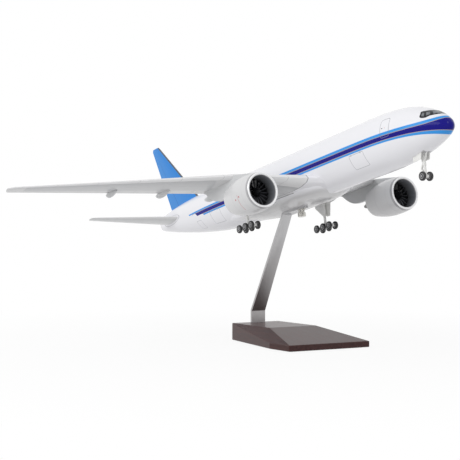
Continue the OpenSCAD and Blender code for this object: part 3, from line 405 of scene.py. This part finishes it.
def tailplane_paint():
    g = Graph("tailplane_lacquer")
    d, y, _ = g.airliner()
    y = y.abs()
    lead = (y - STAB["span"]) * math.tan(math.radians(STAB["sweep"])) + STAB["tip_x"]
    taper = (STAB["tip"] - STAB["root"]) / (STAB["span"] - STAB["root_y"])
    share = (d - lead) / ((y - STAB["root_y"]) * taper + STAB["root"])
    panel = share.between(STAB_LEAD_SHARE, STAB_PANEL_SHARE, 0.03)
    colour = g.mix(panel, srgb(218, 218, 219), srgb(205, 206, 207))
    lines = most(share.line(STAB_REAR_SHARE, 0.012, 0.008) * y.under(STAB_LINES_END_Y),
                 y.line(STAB_END_LINE_Y, 0.25, 0.1) * share.over(STAB_REAR_SHARE, 0.01),
                 share.line(STAB_LEAD_SHARE, 0.008, 0.006) * 0.6)
    colour = g.mix(lines * 0.6, colour, CONTROL_LINE)
    colour = g.mix(share.under(0.05, 0.04) * 0.7, colour, srgb(226, 226, 227))
    return lacquered(g, colour, rough=0.3, shine=0.12)


# The rudder's front edge by share of the chord, its top and its break, and the fin's bare front edge
RUDDER_SHARE = 0.69
RUDDER_TOP_Z = 75.0
RUDDER_BREAK_Z = 48.0
FIN_EDGE_WIDTH = 1.7


def fin_paint():
    g = Graph("fin_lacquer")
    d, _, z = g.airliner()
    lead = (z - FIN["top"]) * math.tan(math.radians(FIN["sweep"])) + FIN["tip_x"]
    chord = (z - BODY_R) * ((FIN["tip"] - FIN["root"]) / (FIN["top"] - BODY_R)) + FIN["root"]
    aft = d - lead
    share = aft / chord
    # Painted highlight: the blue is painted lighter toward the rear of the chord.
    tone = (share * 2.2 - 0.7).op("SINE") * 0.5 + 0.5
    colour = g.mix(tone * 0.5, srgb(48, 130, 212), srgb(76, 154, 226))
    lines = most(share.line(RUDDER_SHARE, 0.014, 0.01) * z.under(RUDDER_TOP_Z, 0.3),
                 z.line(RUDDER_BREAK_Z, 0.22, 0.1) * share.over(RUDDER_SHARE, 0.01) * 0.7)
    colour = g.mix(lines * 0.6, colour, srgb(34, 92, 170))
    colour = g.mix(aft.under(FIN_EDGE_WIDTH, 0.25), colour, srgb(96, 100, 108))
    return lacquered(g, colour, rough=0.24, shine=0.06, glint=0.1)


# The cowls by distance behind the inlet and angle round the engine: the duct, painted darker deeper in as painted
# shade, the duller ring behind the lip, the seams round a cowl as (distance, width), those along it, and the marks,
# one thin arc and two bars
DUCT_R, DUCT_DEEP = 11.35, 14.0
RING_DEEP = 2.7
COWL_SEAMS = ((7.6, 0.16), (20.5, 0.2), (31.5, 0.16))
COWL_FRONT, COWL_REAR = COWL_SEAMS[0][0], COWL_SEAMS[1][0]
KEEL_ANGLE, LATCH_ANGLE = -90.0, 62.0
COWL_ARC = dict(at=13.1, low=-58.0, high=-5.0)
COWL_BARS = ((11.4, -12.0), (16.1, -17.5))
# The fans: how deep the blades' front edges lie, which are painted lighter as a painted highlight, and the radius
# of the spinner, which has none
BLADE_EDGE_DEEP, SPINNER_R = 9.3, 3.6


def engine_axes(g):
    """Distance behind the inlet, radius and angle round the engine's axis (0 outboard, negative below)."""
    d, y, z = g.airliner()
    out, up = y.abs() - ENGINE_Y, z - ENGINE_Z
    return d - ENGINE_FACE, (out * out + up * up).root(), g.math("ARCTAN2", up, out) * (180 / math.pi)


def nacelle_paint():
    g = Graph("nacelle_lacquer")
    x, r, turn = engine_axes(g)
    # Painted shade: the duct's grey is painted lighter near its mouth and darker deeper in.
    duct_and_shade = g.mix(x.under(5.0, 10.0), srgb(92, 94, 98), srgb(138, 140, 146))
    colour = g.mix(x.under(RING_DEEP, 0.3) * 0.6, LACQUER_GREY, srgb(150, 150, 153))
    lines = most(*(x.line(at, width, 0.1) for at, width in COWL_SEAMS),
                 turn.line(KEEL_ANGLE, 1.0, 0.5) * x.over(COWL_FRONT),
                 turn.abs().line(LATCH_ANGLE, 0.8, 0.4) * x.between(COWL_FRONT, COWL_REAR))
    colour = g.mix(lines * 0.3, colour, SEAM)
    arc = x.line(COWL_ARC["at"], 0.28, 0.14) * turn.between(COWL_ARC["low"], COWL_ARC["high"], 2.0)
    bars = most(*(x.line(at, 1.0, 0.3) * turn.line(angle, 4.6, 1.5) for at, angle in COWL_BARS))
    colour = g.mix(arc * 0.85, colour, srgb(178, 62, 72))
    colour = g.mix(bars * 0.95, colour, srgb(180, 48, 60))
    colour = g.mix(r.under(DUCT_R, 0.2) * x.under(DUCT_DEEP), colour, duct_and_shade)
    return lacquered(g, colour, rough=0.26, shine=0.15)


def pylon_paint():
    g = Graph("pylon_lacquer")
    colour = g.mix(g.noise(90.0, detail=4.0) * 0.12, srgb(206, 207, 208), srgb(176, 177, 179))
    return lacquered(g, colour, rough=0.3, shine=0.12)


def fine_scratches(g):
    """Hairlines of a worked metal surface."""
    return g.noise(900.0, detail=4.0, rough=0.7)


def polished(name, colour, rough):
    g = Graph(name)
    fine = fine_scratches(g)
    g.bump(fine, strength=0.05, distance=0.00005)
    return g.finish(Base_Color=g.mix(fine * 0.25, colour, srgb(150, 150, 152)), Metallic=1.0,
                    Roughness=(fine - 0.5) * 0.12 + rough)


def lip_paint():
    """Bright rolled edge of the inlet, with a duller ring behind it."""
    g = Graph("lip_bright")
    x, _, _ = engine_axes(g)
    fine = fine_scratches(g)
    colour = g.mix(x.over(0.75, 0.25), srgb(250, 250, 251), srgb(158, 158, 161))
    return g.finish(Base_Color=g.mix(fine * 0.08, colour, srgb(170, 170, 172)), Metallic=0.1,
                    Roughness=(fine - 0.5) * 0.12 + 0.28, Coat_Weight=0.3, Coat_Roughness=0.1)


def fan_paint():
    """Black blades whose leading edges, the parts nearest the inlet, are painted lighter, a painted highlight."""
    g = Graph("fan_black")
    x, r, _ = engine_axes(g)
    wear = g.noise(260.0, detail=3.0)
    colour = g.mix((wear - 0.45).max(0.0) * 0.8, srgb(16, 16, 18), srgb(60, 62, 68))
    # Painted highlight: the blades' front edges are painted lighter than the black.
    edge_highlight = x.under(BLADE_EDGE_DEEP, 0.6) * r.over(SPINNER_R, 0.3)
    colour = g.mix(edge_highlight * 0.65, colour, srgb(98, 100, 106))
    return g.finish(Base_Color=colour, Roughness=(wear - 0.5) * 0.2 + 0.36, Metallic=0.2, Specular_IOR_Level=0.3)


# ---------------------------------------------------------------- stand and gear finishes
# The arm is painted darker and browner downward round this height, painted shade and a painted reflection of the
# wooden base; the tread's grooves in radians per millimetre; the hub's ring, painted dark as painted shade of a
# dish
ARM_SHADE_Z = 60.0
TREAD_TURNS = 7.5
HUB_CAP_R, HUB_RIM_R = 0.75, 1.45


def brushed_steel():
    g = Graph("arm_brushed_steel")
    grain = g.noise(300.0, detail=5.0, rough=0.65, stretch=(0.5, 9.0, 0.12))
    cloud = g.noise(30.0, detail=3.0)
    g.bump(grain, strength=0.12, distance=0.00008)
    _, _, z = g.xyz()
    colour = g.mix(grain, srgb(176, 176, 178), srgb(216, 216, 217))
    colour = g.mix(cloud * 0.25, colour, srgb(156, 154, 155))
    # Painted shade and painted reflection: the arm turns darker and browner downward, mirroring the wooden base.
    colour = g.mix(z.under(ARM_SHADE_Z, 70.0) * 0.45, colour, srgb(146, 138, 136))
    return g.finish(Base_Color=colour, Metallic=0.85, Roughness=(grain - 0.5) * 0.16 + 0.36, Anisotropic=0.5)


def dark_wood():
    g = Graph("base_dark_wood")
    grain = g.noise(46.0, detail=6.0, rough=0.62, stretch=(1.0, 9.0, 9.0))
    pores = g.noise(260.0, detail=3.0, rough=0.6, stretch=(0.4, 7.0, 7.0))
    colour = g.mix((grain - 0.32) * 1.6, srgb(52, 28, 28), srgb(82, 52, 49))
    colour = g.mix((pores - 0.55).max(0.0) * 1.2, colour, srgb(34, 17, 17))
    g.bump(grain * 0.6 + pores * 0.4, strength=0.05, distance=0.0001)
    return g.finish(Base_Color=colour, Roughness=(grain - 0.5) * 0.16 + 0.4, Coat_Weight=0.3, Coat_Roughness=0.16,
                    Coat_IOR=1.3, Specular_IOR_Level=0.15)


def mat_rubber():
    g = Graph("mat_rubber")
    grit = g.noise(700.0, detail=4.0, rough=0.7)
    g.bump(grit, strength=0.2, distance=0.00008)
    return g.finish(Base_Color=g.mix(g.noise(60.0, detail=2.0) * 0.5, srgb(30, 30, 32), srgb(58, 58, 60)),
                    Roughness=(grit - 0.5) * 0.15 + 0.62)


def tyre_rubber():
    """Black tyre with fine tread grooves round the middle of each wheel, the grooves painted darker as painted
    shade.
    """
    g = Graph("tyre_rubber")
    _, y, _ = g.xyz()
    grooves = ((y * TREAD_TURNS).op("SINE") * 0.5 + 0.5).op("POWER", 8.0)
    grit = g.noise(800.0, detail=3.0)
    g.bump(grooves * -1.0 + grit * 0.2, strength=0.25, distance=0.00012)
    # Painted shade: the grooves are painted darker than the rubber round them.
    colour = g.mix(grooves * 0.5, srgb(34, 34, 36), srgb(18, 18, 19))
    return g.finish(Base_Color=g.mix(grit * 0.2, colour, srgb(70, 70, 73)), Roughness=(grit - 0.5) * 0.2 + 0.45)


def painted_metal(name, colour):
    g = Graph(name)
    wear = g.noise(500.0, detail=5.0, rough=0.7)
    g.bump(wear, strength=0.06, distance=0.00008)
    return g.finish(Base_Color=g.mix(wear * 0.15, colour, srgb(150, 150, 150)),
                    Roughness=(wear - 0.5) * 0.2 + 0.36, Coat_Weight=0.2, Coat_Roughness=0.2)


def hub_paint(name, joint):
    """Wheel hub: bright cap in the middle, a ring round it painted darker as painted shade of a dish, bright rim.
    """
    g = Graph(name)
    x, _, z = g.xyz()
    at = Vector(joints[joint]["pos_m"]) / MM
    u, v = x - at[0], z - at[2]
    r = (u * u + v * v).root()
    fine = fine_scratches(g)
    # Painted shade: the ring between cap and rim is painted dark so the hub looks dished.
    colour = g.mix(r.between(HUB_CAP_R, HUB_RIM_R, 0.2), srgb(180, 180, 182), srgb(62, 62, 66))
    return g.finish(Base_Color=g.mix(fine * 0.1, colour, srgb(130, 130, 132)), Metallic=0.3,
                    Roughness=(fine - 0.5) * 0.12 + 0.34)


def brass():
    g = Graph("insert_brass")
    fine = g.noise(900.0, detail=4.0)
    return g.finish(Base_Color=g.mix(fine * 0.4, srgb(206, 170, 96), srgb(150, 118, 60)), Metallic=1.0,
                    Roughness=(fine - 0.5) * 0.15 + 0.3)


def dress(names, material):
    for name in names:
        for holder in nodes[name].material_slots:
            holder.material = material


SIDES = ("left", "right")
AXLES = [f"{side}_{row}" for side in SIDES for row in ("front", "middle", "rear")] + ["nose"]


def both(*kinds):
    return [f"{side}_{kind}" for side in SIDES for kind in kinds]


gear_white = painted_metal("gear_paint", srgb(238, 238, 236))
dress(["fuselage"], fuselage_paint())
dress(["belly_fairing"], belly_paint())
dress(both("wing"), wing_paint())
dress(both("tailplane"), tailplane_paint())
dress(["fin"], fin_paint())
dress(both("nacelle"), nacelle_paint())
dress(both("pylon", "flap_fairings"), pylon_paint())
dress(both("inlet_lip"), lip_paint())
dress(both("fan"), fan_paint())
dress(both("fan_shaft"), polished("shaft_steel", srgb(170, 170, 174), rough=0.3))
dress(both("engine_core", "exhaust_plug"), polished("core_metal", srgb(120, 118, 118), rough=0.42))
dress(both("main_leg", "main_brace", "bogie_beam") + ["nose_leg", "nose_brace"], gear_white)
dress(both("main_door") + ["nose_doors"], painted_metal("door_paint", srgb(240, 240, 237)))
for axle in AXLES:
    dress([axle + "_axle"], hub_paint(axle + "_hub_metal", axle + "_wheels_roll"))
dress([axle + "_tyres" for axle in AXLES], tyre_rubber())
dress(["base"], dark_wood())
dress(["base_mat"], mat_rubber())
dress(["stand_arm"], brushed_steel())
dress(["foot_screws"], polished("screw_steel", srgb(170, 170, 172), rough=0.32))
dress(["thumb_screw", "thumb_washer", "locating_pin"], polished("bright_nickel", srgb(214, 212, 206), rough=0.22))
dress(["belly_insert"], brass())


# ---------------------------------------------------------------- smooth lofted skins
# The lofted skins: points closer than this, in metres, become one, and edges sharper than this stay sharp
JOIN_WITHIN = 2e-6
SHARP_FROM = 32.0


def smooth_group(angle):
    """A node group that joins a skin's facets and shades it smooth, but for edges sharper than the angle."""
    group = bpy.data.node_groups.new("smooth_skin", "GeometryNodeTree")
    group.interface.new_socket(name="Geometry", in_out="INPUT", socket_type="NodeSocketGeometry")
    group.interface.new_socket(name="Geometry", in_out="OUTPUT", socket_type="NodeSocketGeometry")
    new, link = group.nodes.new, group.links.new
    start, end = new("NodeGroupInput"), new("NodeGroupOutput")
    clear = new("GeometryNodeRemoveAttribute")
    clear.inputs["Name"].default_value = "custom_normal"
    merge = new("GeometryNodeMergeByDistance")
    merge.inputs["Distance"].default_value = JOIN_WITHIN
    faces, edges = new("GeometryNodeSetShadeSmooth"), new("GeometryNodeSetShadeSmooth")
    faces.domain, edges.domain = "FACE", "EDGE"
    faces.inputs["Shade Smooth"].default_value = True
    edges.inputs["Shade Smooth"].default_value = False
    bend, sharp = new("GeometryNodeInputMeshEdgeAngle"), new("FunctionNodeCompare")
    sharp.data_type, sharp.operation = "FLOAT", "GREATER_THAN"
    sharp.inputs[1].default_value = math.radians(angle)
    link(bend.outputs["Unsigned Angle"], sharp.inputs[0])
    link(sharp.outputs[0], edges.inputs["Selection"])
    chain = [start, clear, merge, faces, edges, end]
    for one, two in zip(chain, chain[1:]):
        link(one.outputs[0], two.inputs[0])
    return group


LOFTED = ["fuselage", "belly_fairing", "fin"] + both("wing", "tailplane", "pylon", "flap_fairings")
skin_group = smooth_group(SHARP_FROM)
for name in LOFTED:
    nodes[name].modifiers.new("smooth_skin", "NODES").node_group = skin_group


# ---------------------------------------------------------------- pieces added to the solids
def tree_of(name):
    """The solid's surface for casting rays, in scene metres."""
    mesh = nodes[name].data
    return BVHTree.FromPolygons([v.co.copy() for v in mesh.vertices], [tuple(p.vertices) for p in mesh.polygons])


# The point on the body's axis from which directions over the nose are taken
LOOK_FROM = -30.0
skin = tree_of("fuselage")


def on_nose(turn, z, lift=0.0):
    """The point of the nose's skin seen from inside in that direction (0 is ahead, positive to port) and height."""
    start = air(LOOK_FROM, 0, z)
    way = TILT @ Vector((math.cos(math.radians(turn)), math.sin(math.radians(turn)), 0))
    hit, normal, _, _ = skin.ray_cast(start, way)
    if normal.dot(way) < 0:
        normal = -normal
    return hit + normal * lift * MM


def add(name, mesh, material, body="model"):
    piece = bpy.data.objects.new(name, mesh)
    bpy.context.scene.collection.objects.link(piece)
    mesh.materials.append(material)
    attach(piece, body)


def nose_skin(name, columns, rows, place, lift, material):
    """A thin skin on the nose, its rim closed down to the body.

    place(i, k) gives the (turn, height) of a grid point, from (0, 0) to (columns, rows).
    """
    mesh = bmesh.new()
    grid = []
    for i in range(columns + 1):
        lifts = [0.0 if i in (0, columns) or k in (0, rows) else lift for k in range(rows + 1)]
        grid.append([mesh.verts.new(on_nose(*place(i, k), up)) for k, up in enumerate(lifts)])
    for i in range(columns):
        for k in range(rows):
            mesh.faces.new((grid[i][k], grid[i + 1][k], grid[i + 1][k + 1], grid[i][k + 1]))
    bmesh.ops.recalc_face_normals(mesh, faces=mesh.faces)
    data = bpy.data.meshes.new(name)
    mesh.to_mesh(data)
    mesh.free()
    for face in data.polygons:
        face.use_smooth = True
    add(name, data, material)


def blend_points(points):
    """A height curve of the direction through (turn, height) points, the same on both sides."""
    def height(turn):
        t = abs(turn)
        for (t0, h0), (t1, h1) in zip(points, points[1:]):
            if t <= t1:
                return h0 + (h1 - h0) * (t - t0) / (t1 - t0)
        return points[-1][1]
    return height


def glass(name, dark, light):
    g = Graph(name)
    streak = g.noise(420.0, detail=3.0, rough=0.6, stretch=(1.0, 1.0, 3.0))
    return g.finish(Base_Color=g.mix((streak - 0.3) * 2.0, dark, light), Roughness=(streak - 0.5) * 0.06 + 0.14,
                    Coat_Weight=0.1, Coat_Roughness=0.05, Specular_IOR_Level=0.2)


# The cockpit's dark band: its two edges as (turn, height) points, in degrees from straight ahead and millimetres
BAND_TURN = 41.7
BAND_COLUMNS, BAND_ROWS, BAND_LIFT = 84, 10, 0.1
band_low = blend_points([(0, 4.4), (13, 4.2), (22, 4.0), (30, 3.15), (36, 3.35), (39.2, 3.7), (41.0, 4.1),
                         (BAND_TURN, 4.7)])
band_high = blend_points([(0, 8.4), (13, 8.9), (30, 8.8), (35.4, 8.6), (36.8, 8.2), (41.2, 5.2),
                          (BAND_TURN, 4.75)])


def band_place(i, k):
    turn = -BAND_TURN + 2 * BAND_TURN * i / BAND_COLUMNS
    low, high = band_low(turn), band_high(turn)
    return turn, low + (high - low) * k / BAND_ROWS


# The panes on the band: (turn, height) of the corners on the port side, in order round each pane
PANES = {
    "side": [(32.2, 4.0), (38.4, 4.7), (33.9, 7.6), (28.9, 7.3)],
    "quarter": [(21.2, 4.7), (29.1, 4.4), (25.3, 7.5), (17.0, 7.4)],
    "front": [(1.2, 5.0), (17.6, 4.8), (13.4, 7.5), (1.2, 7.7)],
}
PANE_STEPS, PANE_LIFT = 8, 0.17


def between_points(one, other, share):
    return [a + (b - a) * share for a, b in zip(one, other)]


def pane(name, corners):
    """A window pane between four (turn, height) corners."""
    def place(i, k):
        low = between_points(corners[0], corners[1], i / PANE_STEPS)
        high = between_points(corners[3], corners[2], i / PANE_STEPS)
        return between_points(low, high, k / PANE_STEPS)
    nose_skin(name, PANE_STEPS, PANE_STEPS, place, PANE_LIFT, pane_glass)


band_glass = glass("cockpit_frame", srgb(22, 24, 27), srgb(44, 47, 51))
nose_skin("cockpit_band", BAND_COLUMNS, BAND_ROWS, band_place, BAND_LIFT, band_glass)
pane_glass = glass("cockpit_glass", srgb(92, 96, 100), srgb(146, 149, 153))
for name, corners in PANES.items():
    for label, sign in (("port", 1), ("starboard", -1)):
        pane(f"pane_{name}_{label}", [(t * sign, h) for t, h in corners])


# ---------------------------------------------------------------- lights, ground and camera
scene = bpy.context.scene
scene.view_settings.view_transform = "Standard"


LAMPS_AIM = (0, 0, 0.14)


def softbox(name, at, wide, high, power):
    """A rectangular lamp in metres and watts, turned to the middle of the object."""
    lamp = bpy.data.lights.new(name, "AREA")
    lamp.shape = "RECTANGLE"
    lamp.size, lamp.size_y = wide, high
    lamp.energy = power
    holder = bpy.data.objects.new(name, lamp)
    holder.location = at
    holder.rotation_euler = (Vector(LAMPS_AIM) - Vector(at)).to_track_quat("-Z", "Y").to_euler()
    scene.collection.objects.link(holder)


softbox("key_softbox", at=(0.05, -1.75, 0.85), wide=1.7, high=0.8, power=12.5)
softbox("front_softbox", at=(1.5, -0.2, 1.6), wide=0.35, high=0.35, power=4.0)

# White surround: dimmer as a light than as it is seen, straight or in reflections
WORLD_LIGHT, WORLD_SEEN = 0.66, 1.0
world = bpy.data.worlds.new("studio")
scene.world = world
world.use_nodes = True
studio = world.node_tree
studio.nodes.clear()
world_out, rays = studio.nodes.new("ShaderNodeOutputWorld"), studio.nodes.new("ShaderNodeLightPath")
choose = studio.nodes.new("ShaderNodeMixShader")
for entry, strength in ((1, WORLD_LIGHT), (2, WORLD_SEEN)):
    background = studio.nodes.new("ShaderNodeBackground")
    background.inputs["Color"].default_value = (1, 1, 1, 1)
    background.inputs["Strength"].default_value = strength
    studio.links.new(background.outputs[0], choose.inputs[entry])
looked = rays.outputs["Is Camera Ray"]
for kind in ("Is Transmission Ray", "Is Glossy Ray"):
    greater = studio.nodes.new("ShaderNodeMath")
    greater.operation = "MAXIMUM"
    studio.links.new(looked, greater.inputs[0])
    studio.links.new(rays.outputs[kind], greater.inputs[1])
    looked = greater.outputs[0]
studio.links.new(looked, choose.inputs[0])
studio.links.new(choose.outputs[0], world_out.inputs[0])


# The floor, in metres, and the distances from its middle, in millimetres, over which it turns plain white
FLOOR_R = 6.0
FLOOR_DROP = 0.00005
PLAIN_FROM, PLAIN_SOFT = 260.0, 300.0


def floor_paint():
    """White floor: pure white to the camera away from the object, with a soft shadow kept under it."""
    g = Graph("floor_white")
    x, y, _ = g.xyz()
    away = (x * x + y * y).root().over(PLAIN_FROM, PLAIN_SOFT)
    grain = g.noise(3.0, detail=2.0)
    g.finish(Base_Color=g.mix(grain * 0.1, srgb(238, 238, 238), srgb(232, 232, 233)), Roughness=0.9,
             Specular_IOR_Level=0.0)
    info, glow, mixer = g.new("ShaderNodeLightPath"), g.new("ShaderNodeEmission"), g.new("ShaderNodeMixShader")
    glow.inputs["Strength"].default_value = 1.0
    looked = most(*(Num(g, info.outputs[f"Is {kind} Ray"]) for kind in ("Camera", "Glossy", "Transmission")))
    g.put(mixer.inputs[0], looked * (away * 0.1 + 0.9))
    g.put(mixer.inputs[1], g.shader.outputs[0])
    g.put(mixer.inputs[2], glow.outputs[0])
    g.put(g.out.inputs[0], mixer.outputs[0])
    return g.material


ground = bmesh.new()
bmesh.ops.create_circle(ground, cap_ends=True, cap_tris=False, segments=64, radius=FLOOR_R)
ground_mesh = bpy.data.meshes.new("studio_floor")
ground.to_mesh(ground_mesh)
ground.free()
floor = bpy.data.objects.new("studio_floor", ground_mesh)
floor.location = (0, 0, -FLOOR_DROP)
ground_mesh.materials.append(floor_paint())
scene.collection.objects.link(floor)

# The camera was fitted to points of the photograph: its place in metres, its axes, its focal length as a share of
# the picture's width, and the pixels by which the picture's middle is off its axis
CAMERA_AT = (0.78056, -0.54551, 0.09196)
CAMERA_RIGHT = Vector((0.53783, 0.84304, 0.00463)).normalized()
CAMERA_AHEAD = Vector((-0.84305, 0.53783, 0.00107)).normalized()
FOCAL_SHARE = 2.7132
SENSOR_MM = 36.0
PICTURE_SIZE = 460
OFF_AXIS = (-9.18, -7.88)

camera_data = bpy.data.cameras.new("camera")
camera = bpy.data.objects.new("camera", camera_data)
scene.collection.objects.link(camera)
scene.camera = camera
camera_up = CAMERA_RIGHT.cross(CAMERA_AHEAD).normalized()
turned = Matrix((CAMERA_RIGHT, camera_up, -CAMERA_AHEAD)).transposed().to_4x4()
camera.matrix_world = Matrix.Translation(CAMERA_AT) @ turned
camera_data.sensor_width = SENSOR_MM
camera_data.sensor_fit = "HORIZONTAL"
camera_data.lens = FOCAL_SHARE * SENSOR_MM
camera_data.shift_x, camera_data.shift_y = (off / PICTURE_SIZE for off in OFF_AXIS)
camera_data.clip_start = 0.01
camera_data.clip_end = 30.0
